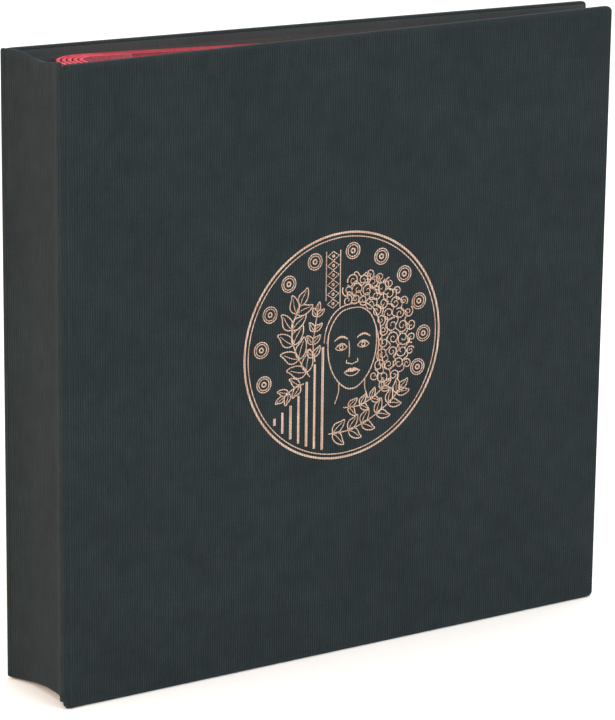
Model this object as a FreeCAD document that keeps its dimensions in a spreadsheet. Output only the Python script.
import FreeCAD, Part
import math
import os

import Sketcher
from FreeCAD import Rotation, Vector

# A cloth-covered ring album for coins, standing upright: +Z up, the front cover facing -Y, the spine at -X.
# The origin is at the middle of the album's footprint. All sizes are in millimetres and degrees.

SIZES = [
    ("album_width", 250, "spine to fore-edge, overall"),
    ("album_height", 245, "head to tail of the covers"),
    ("album_depth", 42, "front face to back face, at the spine"),
    ("wedge_angle", 5.9, "how far the back cover leans in towards the fore-edge"),
    ("cloth", 0.4, "thickness of the book cloth"),
    ("board", 2.4, "thickness of the cover boards"),
    ("lining", 0.35, "thickness of the linings"),
    ("corner_radius", 2.6, "rounding of the covers' outer corners"),
    ("turn_in", 4, "cloth border that shows around a lining"),
    ("joint_radius", 1.15, "half the thickness of the rolled cloth joint"),
    ("face_over_axis", 1.25, "a cover's outer face, from its hinge axis"),
    ("cover_start", 1.5, "where a cover's board starts, from its hinge axis"),
    ("front_inset", 2.3, "front hinge axis, from the album's left side"),
    ("joint_short", 0.5, "how much shorter the joint is than the covers, at each end"),
    ("spine_short", 2, "how much shorter the spine is than the covers, at each end"),
    ("spine_board", 1.8, "thickness of the spine board"),
    ("spine_recess", 4.2, "depth of the spine's hollow"),
    ("hollow_front", 10, "flat part of the hollow, in front of the middle"),
    ("hollow_back", 5, "flat part of the hollow, behind the middle"),
    ("front_bend", 14, "radius of the spine's front bend, outer face"),
    ("back_bend", 28, "radius of the spine's back bend, outer face"),
    ("board_gap", 2.4, "spine board to hinge axis"),
    ("ring_inset", 21, "ring centre, from the album's left side"),
    ("ring_setback", 1, "ring centre, in front of the middle"),
    ("ring_radius", 12, "middle of the ring wire"),
    ("wire_radius", 1.4, "ring wire"),
    ("ring_gap", 0.1, "each half ring stops this short of the split"),
    ("ring_sweep", 160, "how far a half ring runs, from the split to its blade"),
    ("inner_ring", 32.5, "inner rings, from mid-height"),
    ("outer_ring", 77.5, "outer rings, from mid-height"),
    ("blade_inset", 8.5, "blade pivots, from the album's left side"),
    ("blade_pivot", 9.5, "blade pivots, either side of the ring centre"),
    ("blade_gauge", 1, "thickness of a blade"),
    ("blade_length", 171, "length of a blade"),
    ("blade_edge", 0.7, "radius of a blade's rolled outer edge"),
    ("blade_gap", 0.15, "half the gap between the two blades"),
    ("plate_length", 190, "length of the ring cover"),
    ("plate_gauge", 0.7, "thickness of the ring cover's sheet"),
    ("plate_half", 10.25, "inside half-width of the ring cover"),
    ("plate_foot", 6.8, "foot of the ring cover, from the album's left side"),
    ("plate_wall", 9.4, "top of the ring cover's side wall, inside, from the album's left side"),
    ("plate_crown", 11.1, "inside of the ring cover's crown, from the album's left side"),
    ("slot_height", 5.2, "ring slots in the cover and the leaves"),
    ("slot_from", 2.5, "where a ring slot starts in the cover, from the middle"),
    ("rivet_height", 55, "rivets, from mid-height"),
    ("rivet_radius", 2.5, "rivet shank"),
    ("rivet_head", 4, "rivet heads"),
    ("rivet_head_gauge", 0.7, "thickness of the rivet heads"),
    ("rivet_clearance", 4.6, "notch in the blades around a rivet"),
    ("pin_height", 90, "lever pins, from mid-height"),
    ("pin_inset", 8.6, "lever pins, from the album's left side"),
    ("pin_radius", 0.8, "lever pins"),
    ("pin_play", 0.05, "clearance of a pin in its lever"),
    ("lever_width", 11, "width of a lever's tab"),
    ("lever_back", 1.2, "a lever's back, behind its pin"),
    ("lever_front", 1.4, "a lever's front, before its pin"),
    ("lever_heel", 1.6, "a lever's heel, inwards from its pin"),
    ("lever_neck", 4, "where a lever's tab starts to slope, outwards from its pin"),
    ("lever_rise", 4.7, "a tab's end, before its pin"),
    ("lever_reach", 18.2, "a tab's end, outwards from its pin"),
    ("lever_gauge", 1.25, "thickness of a lever"),
    ("finger_gauge", 0.4, "thickness of the finger under the blades"),
    ("finger_reach", 6, "how far the finger reaches inwards from the pin"),
    ("finger_width", 3, "width of the finger under the blades"),
    ("leaf_height", 237, "height that a leaf takes up"),
    ("leaf_droop", 5, "how far a leaf's far edge hangs below its binding edge"),
    ("droop_start", 12, "where a leaf starts to droop, right of the ring centre"),
    ("leaf_width", 228, "width of a leaf along its sheet"),
    ("leaf_pitch", 1.3, "spacing of the leaves against the back cover"),
    ("leaf_step", 2.2, "spacing of the leaves at their binding edges"),
    ("leaf_gap", 0.35, "last leaf to the back lining"),
    ("page_gauge", 0.5, "thickness of a pocket page"),
    ("card_gauge", 0.4, "thickness of an interleaf"),
    ("edge_back", 0.5, "binding edge, behind the ring centre"),
    ("bend_back", 3.5, "start of a leaf's bend, behind the ring centre"),
    ("last_margin", 6, "last leaf's margin, left of the ring centre"),
    ("slot_in", 2, "leaf slot inside the wire's circle"),
    ("slot_out", 4.7, "leaf slot outside the wire's circle"),
    ("foil", 0.08, "thickness of the foil"),
    ("emblem_rise", 1.9, "emblem centre, above mid-height"),
    ("emblem_radius", 45.2, "outer ring of the emblem"),
    ("emblem_line", 0.9, "width of the emblem's rings"),
    ("emblem_second", 42.6, "outer radius of the second ring"),
    ("roundel_circle", 37, "circle of the roundels"),
    ("roundel_radius", 3.1, "a roundel's outer radius"),
    ("bar_width", 1.1, "width of an upright bar"),
    ("bar_pitch", 3.4, "spacing of the upright bars"),
    ("head_radius", 11, "plain disc that marks the head"),
]
LEAVES = 5
ROUNDELS = 12
BARS = 7

doc = FreeCAD.newDocument("coin_album")
sheet = doc.addObject("Spreadsheet::Sheet", "Sizes")
parts = []

# Places that several pieces share, as formulas on the sheet.
LEFT = "-Sizes.album_width / 2"
COVER_LENGTH = "(Sizes.album_width - Sizes.front_inset)"
INNER = "(2 * Sizes.cloth + Sizes.board - Sizes.face_over_axis)"
FRONT_AXIS = (LEFT + " + Sizes.front_inset", "-Sizes.album_depth / 2 + Sizes.face_over_axis")
BACK_AXIS = (LEFT + " + Sizes.joint_radius", "Sizes.album_depth / 2 - Sizes.joint_radius")
RING_AXIS = (LEFT + " + Sizes.ring_inset", "-Sizes.ring_setback")
MIDDLE = "Sizes.album_height / 2"


def fill_sheet():
    for row, (alias, number, meaning) in enumerate(SIZES, start=1):
        sheet.set(f"A{row}", alias)
        sheet.set(f"B{row}", str(number))
        sheet.set(f"C{row}", meaning)
        sheet.setAlias(f"B{row}", alias)
    doc.recompute()


def value(formula):
    return float(sheet.evalExpression(f"({formula}) * 1"))


def place(piece, axis, rotation=None, height=MIDDLE):
    """Puts a piece's own origin on a vertical axis, and turns the piece there."""
    if rotation:
        piece.Placement.Rotation = rotation
    piece.setExpression("Placement.Base.x", axis[0])
    piece.setExpression("Placement.Base.y", axis[1])
    piece.setExpression("Placement.Base.z", height)


def keep(piece, label):
    piece.Label = label
    parts.append(piece)
    return piece


def new_body(label):
    return keep(doc.addObject("PartDesign::Body", label), label)


def new_sketch(body, plane, name, offset=None):
    sketch = body.newObject("Sketcher::SketchObject", name)
    role = plane + "_Plane"
    origin_plane = next(f for f in body.Origin.OriginFeatures if f.Role == role)
    sketch.AttachmentSupport = [(origin_plane, "")]
    sketch.MapMode = "FlatFace"
    if offset:
        sketch.setExpression("AttachmentOffset.Base.z", offset)
    return sketch


def arc_between(start, end, radius, turns_left):
    """A circular arc between two points. turns_left says that it runs anticlockwise from start to end."""
    middle = (start + end) * 0.5
    half = (end - start) * 0.5
    side = Vector(-half.y, half.x, 0).normalize()
    height = math.sqrt(max(radius**2 - half.Length**2, 0))
    centre = middle + side * (height if turns_left else -height)
    first, last = (start, end) if turns_left else (end, start)
    angles = [math.atan2(p.y - centre.y, p.x - centre.x) for p in (first, last)]
    return Part.ArcOfCircle(Part.Circle(centre, Vector(0, 0, 1), radius), *angles)


def outline(sketch, corners, bends=None):
    """Draws a closed outline. corners are (x, y) formulas; bends maps a corner's number to the (radius
    formula, turns_left) of the arc that leaves it. Every corner and radius is bound to the sheet."""
    bends = bends or {}
    points = [Vector(value(x), value(y), 0) for x, y in corners]
    first = sketch.GeometryCount
    starts = []
    ends = []
    rules = []
    for i, point in enumerate(points):
        following = points[(i + 1) % len(points)]
        if i in bends:
            radius, turns_left = bends[i]
            edge = arc_between(point, following, value(radius), turns_left)
            starts.append(1 if turns_left else 2)
        else:
            edge = Part.LineSegment(point, following)
            starts.append(1)
        ends.append(3 - starts[-1])
        sketch.addGeometry(edge)
    for i in range(len(points)):
        after = (i + 1) % len(points)
        rules.append(Sketcher.Constraint("Coincident", first + i, ends[i], first + after, starts[after]))
    formulas = []
    for i, (x, y) in enumerate(corners):
        for kind, formula, number in (("DistanceX", x, points[i].x), ("DistanceY", y, points[i].y)):
            rules.append(Sketcher.Constraint(kind, -1, 1, first + i, starts[i], number))
            formulas.append((len(rules) - 1, formula))
    for i, (radius, _) in bends.items():
        rules.append(Sketcher.Constraint("Radius", first + i, value(radius)))
        formulas.append((len(rules) - 1, radius))
    base = sketch.ConstraintCount
    sketch.addConstraint(rules)
    for number, formula in formulas:
        sketch.setExpression(f"Constraints[{base + number}]", formula)


def circle(sketch, x, y, radius):
    centre = Vector(value(x), value(y), 0)
    ring = sketch.addGeometry(Part.Circle(centre, Vector(0, 0, 1), value(radius)))
    base = sketch.ConstraintCount
    sketch.addConstraint(
        [
            Sketcher.Constraint("DistanceX", -1, 1, ring, 3, centre.x),
            Sketcher.Constraint("DistanceY", -1, 1, ring, 3, centre.y),
            Sketcher.Constraint("Radius", ring, value(radius)),
        ]
    )
    for number, formula in enumerate((x, y, radius)):
        sketch.setExpression(f"Constraints[{base + number}]", formula)


def pad(body, sketch, length, symmetric=False):
    feature = body.newObject("PartDesign::Pad", sketch.Name + "_pad")
    feature.Profile = sketch
    feature.setExpression("Length", length)
    if symmetric:
        feature.SideType = "Symmetric"
    return feature


def pocket_through(body, sketch, length):
    """Cuts a sketch out of a body, half of length to each side of the sketch, and makes sure that it cut."""
    doc.recompute()
    before = body.Shape.Volume
    feature = body.newObject("PartDesign::Pocket", sketch.Name + "_pocket")
    feature.Profile = sketch
    feature.setExpression("Length", length)
    feature.SideType = "Symmetric"
    doc.recompute()
    if body.Shape.Volume >= before - 1e-6:
        raise ValueError(f"{sketch.Name} cuts nothing out of {body.Label}")
    return feature


# The case: two covers, each built flat with its own origin on its hinge axis at mid-height, X along the
# cover, Y along its height and Z out through its outer face.

FRONT_TURN = Rotation(Vector(1, 0, 0), 90)
BACK_TURN = Rotation(Vector(1, 0, 0), -90)


def place_cover_piece(piece, side):
    if side == "front":
        place(piece, FRONT_AXIS, FRONT_TURN)
        return
    lean = Rotation(Vector(0, 0, 1), -value("Sizes.wedge_angle"))
    place(piece, BACK_AXIS, lean.multiply(BACK_TURN))


def panel_corners(inset):
    """A cover's outline, square at the hinge and rounded at the fore-edge, drawn in from its edge."""
    near = "Sizes.cover_start"
    far = f"{COVER_LENGTH} - {inset}"
    half = f"(Sizes.album_height / 2 - {inset})"
    radius = f"(Sizes.corner_radius + Sizes.cloth - min({inset}; Sizes.corner_radius))"
    corners = [
        (near, f"-{half}"),
        (f"{far} - {radius}", f"-{half}"),
        (far, f"-{half} + {radius}"),
        (far, f"{half} - {radius}"),
        (f"{far} - {radius}", half),
        (near, half),
    ]
    return corners, {1: (radius, True), 3: (radius, True)}


def rim_corners(inset):
    """The U-shaped border of a cover, from its edge in to the inset, open at the hinge."""
    outer, outer_bends = panel_corners("0")
    inner, inner_bends = panel_corners(inset)
    bends = dict(outer_bends)
    for i, (radius, _) in inner_bends.items():
        bends[2 * len(outer) - 2 - i] = (radius, False)
    return outer + inner[::-1], bends


def make_board(side):
    body = new_body(side + "_board")
    sketch = new_sketch(body, "XY", side + "_board_outline", "Sizes.cloth - " + INNER)
    outline(sketch, *panel_corners("Sizes.cloth"))
    pad(body, sketch, "Sizes.board")
    place_cover_piece(body, side)


def make_cover_cloth(side):
    body = new_body(side + "_cover_cloth")
    face = new_sketch(body, "XY", side + "_cloth_face", "Sizes.face_over_axis - Sizes.cloth")
    outline(face, *panel_corners("0"))
    pad(body, face, "Sizes.cloth")
    wrap = new_sketch(body, "XY", side + "_cloth_wrap", "Sizes.cloth - " + INNER)
    outline(wrap, *rim_corners("Sizes.cloth"))
    pad(body, wrap, "Sizes.board")
    border = new_sketch(body, "XY", side + "_cloth_turn_in", "-" + INNER)
    outline(border, *rim_corners("Sizes.turn_in"))
    pad(body, border, "Sizes.cloth")
    place_cover_piece(body, side)


def make_cover_lining(side):
    body = new_body(side + "_lining")
    sketch = new_sketch(body, "XY", side + "_lining_outline", f"Sizes.cloth - Sizes.lining - {INNER}")
    outline(sketch, *panel_corners("Sizes.turn_in"))
    pad(body, sketch, "Sizes.lining")
    place_cover_piece(body, side)


def make_joint(side):
    """The rolled cloth hinge: a tube of cloth around the hinge axis, fixed to the spine."""
    roll = doc.addObject("Part::Cylinder", side + "_joint_roll")
    roll.setExpression("Radius", "Sizes.joint_radius")
    core = doc.addObject("Part::Cylinder", side + "_joint_core")
    core.setExpression("Radius", "Sizes.joint_radius - Sizes.cloth")
    for cylinder in (roll, core):
        cylinder.setExpression("Height", "Sizes.album_height - 2 * Sizes.joint_short")
    tube = doc.addObject("Part::Cut", side + "_joint_cloth")
    tube.Base = roll
    tube.Tool = core
    keep(tube, side + "_joint_cloth")
    place(tube, FRONT_AXIS if side == "front" else BACK_AXIS, height="Sizes.joint_short")


# The spine: three bands with one cross-section, hollow in the middle and curving out to both joints.
# Each is drawn in plan, from the album's left side, and padded up and down from mid-height.


def spine_band(label, outer, inner, gap):
    """One layer of the spine, between two depths under its outer face, ending a gap short of the axes."""
    body = new_body(label)
    sketch = new_sketch(body, "XY", label + "_section")
    front_end = f"({FRONT_AXIS[1]} + {gap})"
    back_end = f"({BACK_AXIS[1]} - {gap})"
    corners = []
    bends = {}
    for depth, order in ((outer, 1), (inner, -1)):
        flat = f"{LEFT} + Sizes.spine_recess + {depth}"
        front = f"(Sizes.front_bend + {depth})"
        back = f"(Sizes.back_bend + {depth})"
        front_x = f"{flat} - {front} + sqrt({front} ^ 2 - ({front_end} + Sizes.hollow_front) ^ 2)"
        back_x = f"{flat} - {back} + sqrt({back} ^ 2 - ({back_end} - Sizes.hollow_back) ^ 2)"
        path = [
            (front_x, front_end),
            (flat, "-Sizes.hollow_front"),
            (flat, "Sizes.hollow_back"),
            (back_x, back_end),
        ]
        first = len(corners)
        corners += path[::order]
        bends[first] = (front if order > 0 else back, order < 0)
        bends[first + 2] = (back if order > 0 else front, order < 0)
    # seen from above, the way from the front joint to the back one bends left around the album's outside
    bends = {i: (radius, not turns_left) for i, (radius, turns_left) in bends.items()}
    outline(sketch, corners, bends)
    pad(body, sketch, "Sizes.album_height - 2 * Sizes.spine_short", symmetric=True)
    place(body, ("0", "0"))
    return body


def rivet_holes(body, name, radius, depth, plane_offset=None):
    """Two round holes through the spine, along X, at the rivets' heights."""
    sketch = new_sketch(body, "YZ", name, plane_offset)
    for sign in ("", "-"):
        circle(sketch, "-Sizes.ring_setback", f"{sign}Sizes.rivet_height", radius)
    pocket_through(body, sketch, depth)


def make_spine():
    cloth = "Sizes.cloth"
    board = "(Sizes.cloth + Sizes.spine_board)"
    lining = "(Sizes.cloth + Sizes.spine_board + Sizes.lining)"
    spine_band("spine_cloth", "0", cloth, "(Sizes.joint_radius + 0.02)")
    body = spine_band("spine_board", cloth, board, "Sizes.board_gap")
    rivet_holes(body, "board_rivet_holes", "Sizes.rivet_radius", "2 * Sizes.album_width")
    recess = f"{LEFT} + Sizes.spine_recess + Sizes.cloth"
    rivet_holes(body, "board_rivet_recess", "Sizes.rivet_head + Sizes.lining", "2 * Sizes.rivet_head_gauge", recess)
    body = spine_band("spine_lining", board, lining, "Sizes.board_gap")
    rivet_holes(body, "lining_rivet_holes", "Sizes.rivet_radius", "2 * Sizes.album_width")


# The ring mechanism, riveted to the inside of the spine. Places in plan are from the album's left side
# and from the ring centre.


def inset(size):
    return f"{LEFT} + {size}"


def beside(size):
    return f"{size} - Sizes.ring_setback"


def make_ring_cover():
    body = new_body("ring_cover")
    sketch = new_sketch(body, "XY", "ring_cover_section")
    wall = "Sizes.plate_half"
    outer = "(Sizes.plate_half + Sizes.plate_gauge)"
    rise = "(Sizes.plate_crown - Sizes.plate_wall)"
    arch = f"(({wall} ^ 2 + {rise} ^ 2) / (2 * {rise}))"
    outer_rise = "(Sizes.plate_crown + Sizes.plate_gauge - Sizes.plate_wall)"
    outer_arch = f"(({outer} ^ 2 + {outer_rise} ^ 2) / (2 * {outer_rise}))"
    corners = [
        (inset("Sizes.plate_foot"), beside(f"-{outer}")),
        (inset("Sizes.plate_foot"), beside(f"-{wall}")),
        (inset("Sizes.plate_wall"), beside(f"-{wall}")),
        (inset("Sizes.plate_wall"), beside(wall)),
        (inset("Sizes.plate_foot"), beside(wall)),
        (inset("Sizes.plate_foot"), beside(outer)),
        (inset("Sizes.plate_wall"), beside(outer)),
        (inset("Sizes.plate_wall"), beside(f"-{outer}")),
    ]
    outline(sketch, corners, {2: (arch, True), 6: (outer_arch, False)})
    pad(body, sketch, "Sizes.plate_length", symmetric=True)
    slots = new_sketch(body, "YZ", "ring_slots")
    for sign in ("", "-"):
        for ring in ("Sizes.inner_ring", "Sizes.outer_ring"):
            low = f"{sign}{ring} - Sizes.slot_height / 2"
            high = f"{sign}{ring} + Sizes.slot_height / 2"
            for near, far in (("-Sizes.plate_half", "-Sizes.slot_from"), ("Sizes.slot_from", "Sizes.plate_half")):
                corners = [(beside(near), low), (beside(far), low), (beside(far), high), (beside(near), high)]
                outline(slots, corners)
    pocket_through(body, slots, "2 * Sizes.album_width")
    rivet_holes(body, "plate_rivet_holes", "Sizes.rivet_radius", "2 * Sizes.album_width")
    pins = new_sketch(body, "XZ", "plate_pin_holes")
    for sign in ("", "-"):
        circle(pins, inset("Sizes.pin_inset"), f"{sign}Sizes.pin_height", "Sizes.pin_radius")
    pocket_through(body, pins, "2 * Sizes.album_depth")
    place(body, ("0", "0"))


def make_rivets():
    """Two rivets: a shank through the spine, with a head over the ring cover and one under the cloth."""
    low = "Sizes.spine_recess + Sizes.cloth"
    high = "Sizes.plate_crown + Sizes.plate_gauge"
    pieces = []
    for n, sign in enumerate(("", "-")):
        cylinders = []
        for name, start, length, radius in (
            ("shank", low, f"{high} - ({low})", "Sizes.rivet_radius"),
            ("top_head", high, "Sizes.rivet_head_gauge", "Sizes.rivet_head"),
            ("under_head", low, "Sizes.rivet_head_gauge", "Sizes.rivet_head"),
        ):
            cylinder = doc.addObject("Part::Cylinder", f"rivet_{n + 1}_{name}")
            cylinder.setExpression("Radius", radius)
            cylinder.setExpression("Height", length)
            place(
                cylinder,
                (inset(start), "-Sizes.ring_setback"),
                Rotation(Vector(0, 1, 0), 90),
                f"{sign}Sizes.rivet_height",
            )
            cylinders.append(cylinder)
        rivet = doc.addObject("Part::MultiFuse", f"rivet_{n + 1}")
        rivet.Shapes = cylinders
        pieces.append(rivet)
    group(pieces, "mechanism_rivets")


def group(pieces, label):
    compound = doc.addObject("Part::Compound", label)
    compound.Links = pieces
    place(compound, ("0", "0"))
    return keep(compound, label)


def make_lever_pins():
    pieces = []
    for n, sign in enumerate(("", "-")):
        pin = doc.addObject("Part::Cylinder", f"lever_pin_{n + 1}")
        pin.setExpression("Radius", "Sizes.pin_radius")
        pin.setExpression("Height", "2 * (Sizes.plate_half + Sizes.plate_gauge)")
        foot = beside("Sizes.plate_half + Sizes.plate_gauge")
        place(pin, (inset("Sizes.pin_inset"), foot), Rotation(Vector(1, 0, 0), 90), f"{sign}Sizes.pin_height")
        pieces.append(pin)
    group(pieces, "lever_pins")


# The blades and the half rings turn about the blades' outer edges. Both sides are built alike, with the
# origin on that edge and Y towards the other blade; the back side is turned half a turn about X.

TURNED = Rotation(Vector(1, 0, 0), 180)


def place_half(piece, side):
    sign = "-" if side == "front" else ""
    axis = (inset("Sizes.blade_inset"), beside(f"{sign}Sizes.blade_pivot"))
    place(piece, axis, TURNED if side == "back" else None)


def make_blade(side):
    body = new_body(side + "_blade")
    sketch = new_sketch(body, "XY", side + "_blade_section")
    half = "(Sizes.blade_gauge / 2)"
    root = f"sqrt(Sizes.blade_edge ^ 2 - {half} ^ 2)"
    tip = "Sizes.blade_pivot - Sizes.blade_gap"
    corners = [(half, root), (half, tip), (f"-{half}", tip), (f"-{half}", root)]
    start = Vector(value(f"-{half}"), value(root), 0)
    end = Vector(value(half), value(root), 0)
    outline(sketch, corners)
    pad(body, sketch, "Sizes.blade_length", symmetric=True)
    edge = new_sketch(body, "XY", side + "_blade_edge")
    circle(edge, "0", "0", "Sizes.blade_edge")
    pad(body, edge, "Sizes.blade_length", symmetric=True)
    notches = new_sketch(body, "YZ", side + "_blade_notches")
    for sign in ("", "-"):
        circle(notches, "Sizes.blade_pivot", f"{sign}Sizes.rivet_height", "Sizes.rivet_clearance")
    pocket_through(body, notches, "4 * Sizes.blade_gauge")
    place_half(body, side)


def make_half_rings(side):
    """Four half rings of round wire, cut off flat where they stand on their blade."""
    rings = []
    for n, sign_ring in enumerate(
        ("-Sizes.outer_ring", "-Sizes.inner_ring", "Sizes.inner_ring", "Sizes.outer_ring")
    ):
        wire = doc.addObject("Part::Torus", f"{side}_ring_{n + 1}")
        wire.setExpression("Radius1", "Sizes.ring_radius")
        wire.setExpression("Radius2", "Sizes.wire_radius")
        wire.Placement.Rotation = Rotation(Vector(0, 0, 1), -value("Sizes.ring_sweep"))
        wire.setExpression("Angle3", "Sizes.ring_sweep")
        wire.setExpression("Placement.Base.x", "Sizes.ring_inset - Sizes.blade_inset")
        wire.setExpression("Placement.Base.y", "Sizes.blade_pivot - Sizes.ring_gap")
        wire.setExpression("Placement.Base.z", sign_ring)
        rings.append(wire)
    wires = doc.addObject("Part::Compound", side + "_ring_wires")
    wires.Links = rings
    trim = doc.addObject("Part::Box", side + "_ring_trim")
    trim.setExpression("Length", "Sizes.ring_inset")
    trim.setExpression("Width", "4 * Sizes.blade_pivot")
    trim.setExpression("Height", "Sizes.album_height")
    trim.setExpression("Placement.Base.x", "Sizes.blade_gauge / 2 - Sizes.ring_inset")
    trim.setExpression("Placement.Base.y", "-2 * Sizes.blade_pivot")
    trim.setExpression("Placement.Base.z", "-Sizes.album_height / 2")
    halves = doc.addObject("Part::Cut", side + "_ring_halves")
    halves.Base = wires
    halves.Tool = trim
    keep(halves, side + "_ring_halves")
    place_half(halves, side)


def make_lever(end):
    """A bent steel lever: a tab that slopes up and outwards, and a finger that reaches under the blades.
    Its origin is on its pin, X away from the spine and Z out of the mechanism's end."""
    body = new_body(end + "_lever")
    profile = new_sketch(body, "XZ", end + "_lever_profile")
    corners = [
        ("-Sizes.lever_back", "-Sizes.lever_heel"),
        ("Sizes.lever_front", "-Sizes.lever_heel"),
        ("Sizes.lever_front", "Sizes.lever_neck"),
        ("Sizes.lever_rise", "Sizes.lever_reach"),
        ("Sizes.lever_rise - Sizes.lever_gauge", "Sizes.lever_reach"),
        ("Sizes.lever_front - Sizes.lever_gauge", "Sizes.lever_neck"),
        ("-Sizes.lever_back", "Sizes.lever_heel"),
    ]
    outline(profile, corners)
    pad(body, profile, "Sizes.lever_width", symmetric=True)
    finger = new_sketch(body, "XZ", end + "_lever_finger")
    top = "Sizes.finger_gauge - Sizes.lever_back"
    tip = "-Sizes.finger_reach"
    outline(finger, [("-Sizes.lever_back", tip), (top, tip), (top, "-1"), ("-Sizes.lever_back", "-1")])
    pad(body, finger, "Sizes.finger_width", symmetric=True)
    bore = new_sketch(body, "XZ", end + "_lever_bore")
    circle(bore, "0", "0", "Sizes.pin_radius + Sizes.pin_play")
    pocket_through(body, bore, "2 * Sizes.lever_width")
    sign = "" if end == "top" else "-"
    place(
        body,
        (inset("Sizes.pin_inset"), "-Sizes.ring_setback"),
        None if end == "top" else TURNED,
        f"{MIDDLE} + {sign}Sizes.pin_height",
    )


# The leaves: each a clear pocket page and a red card behind it. Their origin is the ring centre at
# mid-height. The binding margin stands across the rings, and the sheet bends back to the back cover.


def leaf_profile(n, front, back):
    """One sheet in plan, between two depths measured from the leaf's back face. n counts from the front."""
    behind = LEAVES - n
    margin = f"({behind} * Sizes.leaf_step - Sizes.last_margin)"
    lean = "Sizes.wedge_angle"
    ax = f"({BACK_AXIS[0]} - ({RING_AXIS[0]}))"
    ay = f"({BACK_AXIS[1]} - ({RING_AXIS[1]}))"
    depth = f"({INNER} + Sizes.leaf_gap + {behind} * Sizes.leaf_pitch)"
    reach = f"(sin({lean}) * ({ax} - {margin}) + cos({lean}) * ({ay} - Sizes.bend_back) - {depth})"
    radius = f"({reach} / (1 + sin({lean})))"
    straight = f"(Sizes.leaf_width - (Sizes.bend_back - Sizes.edge_back) - {radius} * (90 + {lean}) * pi / 180)"
    centre_x = f"({margin} + {radius})"
    corners = []
    bends = {}
    for layer, order in ((back, 1), (front, -1)):
        bend = f"({radius} - {layer})"
        turn_x = f"{centre_x} + {bend} * sin({lean})"
        turn_y = f"Sizes.bend_back + {bend} * cos({lean})"
        path = [
            (f"{centre_x} - {bend}", "Sizes.edge_back"),
            (f"{centre_x} - {bend}", "Sizes.bend_back"),
            (turn_x, turn_y),
            (f"{turn_x} + {straight} * cos({lean})", f"{turn_y} - {straight} * sin({lean})"),
        ]
        first = len(corners)
        corners += path[::order]
        bends[first + 1] = (bend, order < 0)
    return corners, bends


def slope_edges(body, label):
    """Cuts a sheet's head and foot, so that both slope down towards its far edge."""
    head = "Sizes.leaf_height / 2"
    start, far = "Sizes.droop_start", "Sizes.leaf_width"
    above = f"{head} + Sizes.leaf_droop"
    below = f"-{head} - Sizes.leaf_droop"
    low_head = f"{head} - Sizes.leaf_droop"
    high_foot = f"-{head} + Sizes.leaf_droop"
    outlines = {
        "head": [(start, head), (far, low_head), (far, above), (start, above)],
        "foot": [(f"-{far}", high_foot), (start, high_foot), (far, f"-{head}"), (far, below), (f"-{far}", below)],
    }
    for end, corners in outlines.items():
        sketch = new_sketch(body, "XZ", f"{label}_{end}")
        outline(sketch, corners)
        pocket_through(body, sketch, "2 * Sizes.album_depth")


def make_sheet(label, n, front, back):
    body = new_body(label)
    sketch = new_sketch(body, "XY", label + "_section")
    outline(sketch, *leaf_profile(n, front, back))
    pad(body, sketch, "Sizes.leaf_height", symmetric=True)
    slope_edges(body, label)
    inside = "(Sizes.ring_radius - Sizes.slot_in)"
    outside = "(Sizes.ring_radius + Sizes.slot_out)"
    for k, ring in enumerate(("-Sizes.outer_ring", "-Sizes.inner_ring", "Sizes.inner_ring", "Sizes.outer_ring")):
        slot = new_sketch(body, "XY", f"{label}_slot_{k + 1}", ring)
        circle(slot, "0", "0", inside)
        circle(slot, "0", "0", outside)
        pocket_through(body, slot, "Sizes.slot_height")
    place(body, RING_AXIS)


def make_leaves():
    page_back = "Sizes.card_gauge"
    page_front = "(Sizes.card_gauge + Sizes.page_gauge)"
    for n in range(1, LEAVES + 1):
        make_sheet(f"coin_page_{n}", n, page_front, page_back)
        make_sheet(f"interleaf_{n}", n, "Sizes.card_gauge", "0")


# The emblem: thin foil on the front cover, drawn in the cover's own frame.


def foil_disc(name, x, y, radius):
    disc = doc.addObject("Part::Cylinder", name)
    disc.setExpression("Radius", radius)
    disc.setExpression("Height", "Sizes.foil")
    disc.setExpression("Placement.Base.x", x)
    disc.setExpression("Placement.Base.y", y)
    disc.setExpression("Placement.Base.z", "Sizes.face_over_axis")
    return disc


def foil_ring(name, x, y, radius):
    ring = doc.addObject("Part::Cut", name)
    ring.Base = foil_disc(name + "_outer", x, y, radius)
    ring.Tool = foil_disc(name + "_inner", x, y, f"{radius} - Sizes.emblem_line")
    return ring


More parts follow.
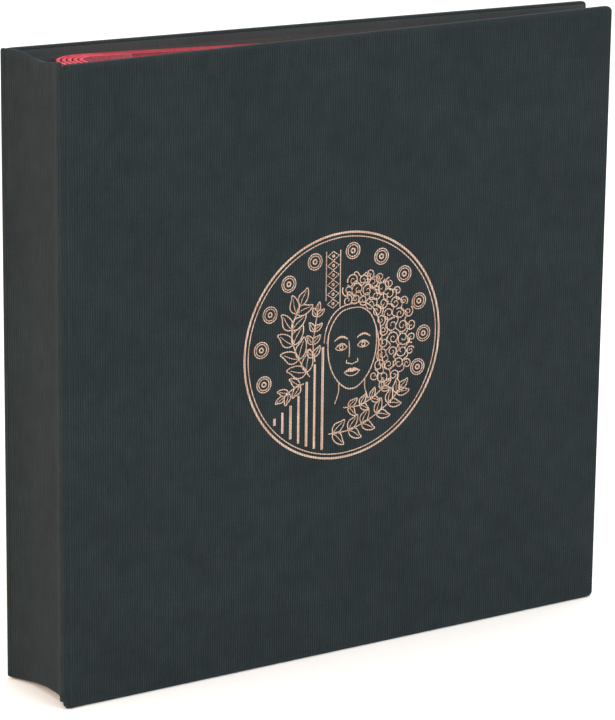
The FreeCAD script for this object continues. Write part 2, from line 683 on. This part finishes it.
def make_emblem():
    centre_x = f"({COVER_LENGTH} - Sizes.album_width / 2)"
    centre_y = "Sizes.emblem_rise"
    pieces = [
        foil_ring("emblem_rim", centre_x, centre_y, "Sizes.emblem_radius"),
        foil_ring("emblem_second_rim", centre_x, centre_y, "Sizes.emblem_second"),
        foil_ring("emblem_head", centre_x, centre_y, "Sizes.head_radius"),
    ]
    for n in range(ROUNDELS):
        angle = 360 * n / ROUNDELS
        x = f"{centre_x} + Sizes.roundel_circle * cos({angle})"
        y = f"{centre_y} + Sizes.roundel_circle * sin({angle})"
        pieces.append(foil_ring(f"emblem_roundel_{n + 1}", x, y, "Sizes.roundel_radius"))
    for n in range(BARS):
        bar = doc.addObject("Part::Box", f"emblem_bar_{n + 1}")
        bar.setExpression("Length", "Sizes.bar_width")
        bar.setExpression("Width", f"Sizes.bar_pitch * {n + 2}")
        bar.setExpression("Height", "Sizes.foil")
        bar.setExpression("Placement.Base.x", f"{centre_x} - Sizes.bar_pitch * {BARS + 3 - n}")
        bar.setExpression("Placement.Base.y", f"{centre_y} - Sizes.roundel_circle + Sizes.bar_pitch * 3.5")
        bar.setExpression("Placement.Base.z", "Sizes.face_over_axis")
        pieces.append(bar)
    emblem = doc.addObject("Part::Compound", "cover_emblem")
    emblem.Links = pieces
    keep(emblem, "cover_emblem")
    place_cover_piece(emblem, "front")


def check_everything():
    for item in doc.Objects:
        if "Invalid" in item.State or "Error" in item.State:
            raise ValueError(f"{item.Name} did not build: {item.State}")
    for piece in parts:
        if piece.Shape.isNull() or not piece.Shape.isValid() or not piece.Shape.Solids:
            raise ValueError(f"{piece.Label} has no valid shape")


def write_parts():
    os.makedirs("parts", exist_ok=True)
    for piece in parts:
        piece.Shape.exportStep(f"parts/{piece.Label}.step")


fill_sheet()
for cover in ("front", "back"):
    make_board(cover)
    make_cover_cloth(cover)
    make_cover_lining(cover)
    make_joint(cover)
make_spine()
make_ring_cover()
make_rivets()
make_lever_pins()
for half in ("front", "back"):
    make_blade(half)
    make_half_rings(half)
for lever in ("top", "bottom"):
    make_lever(lever)
make_leaves()
make_emblem()
doc.recompute()
check_everything()
write_parts()
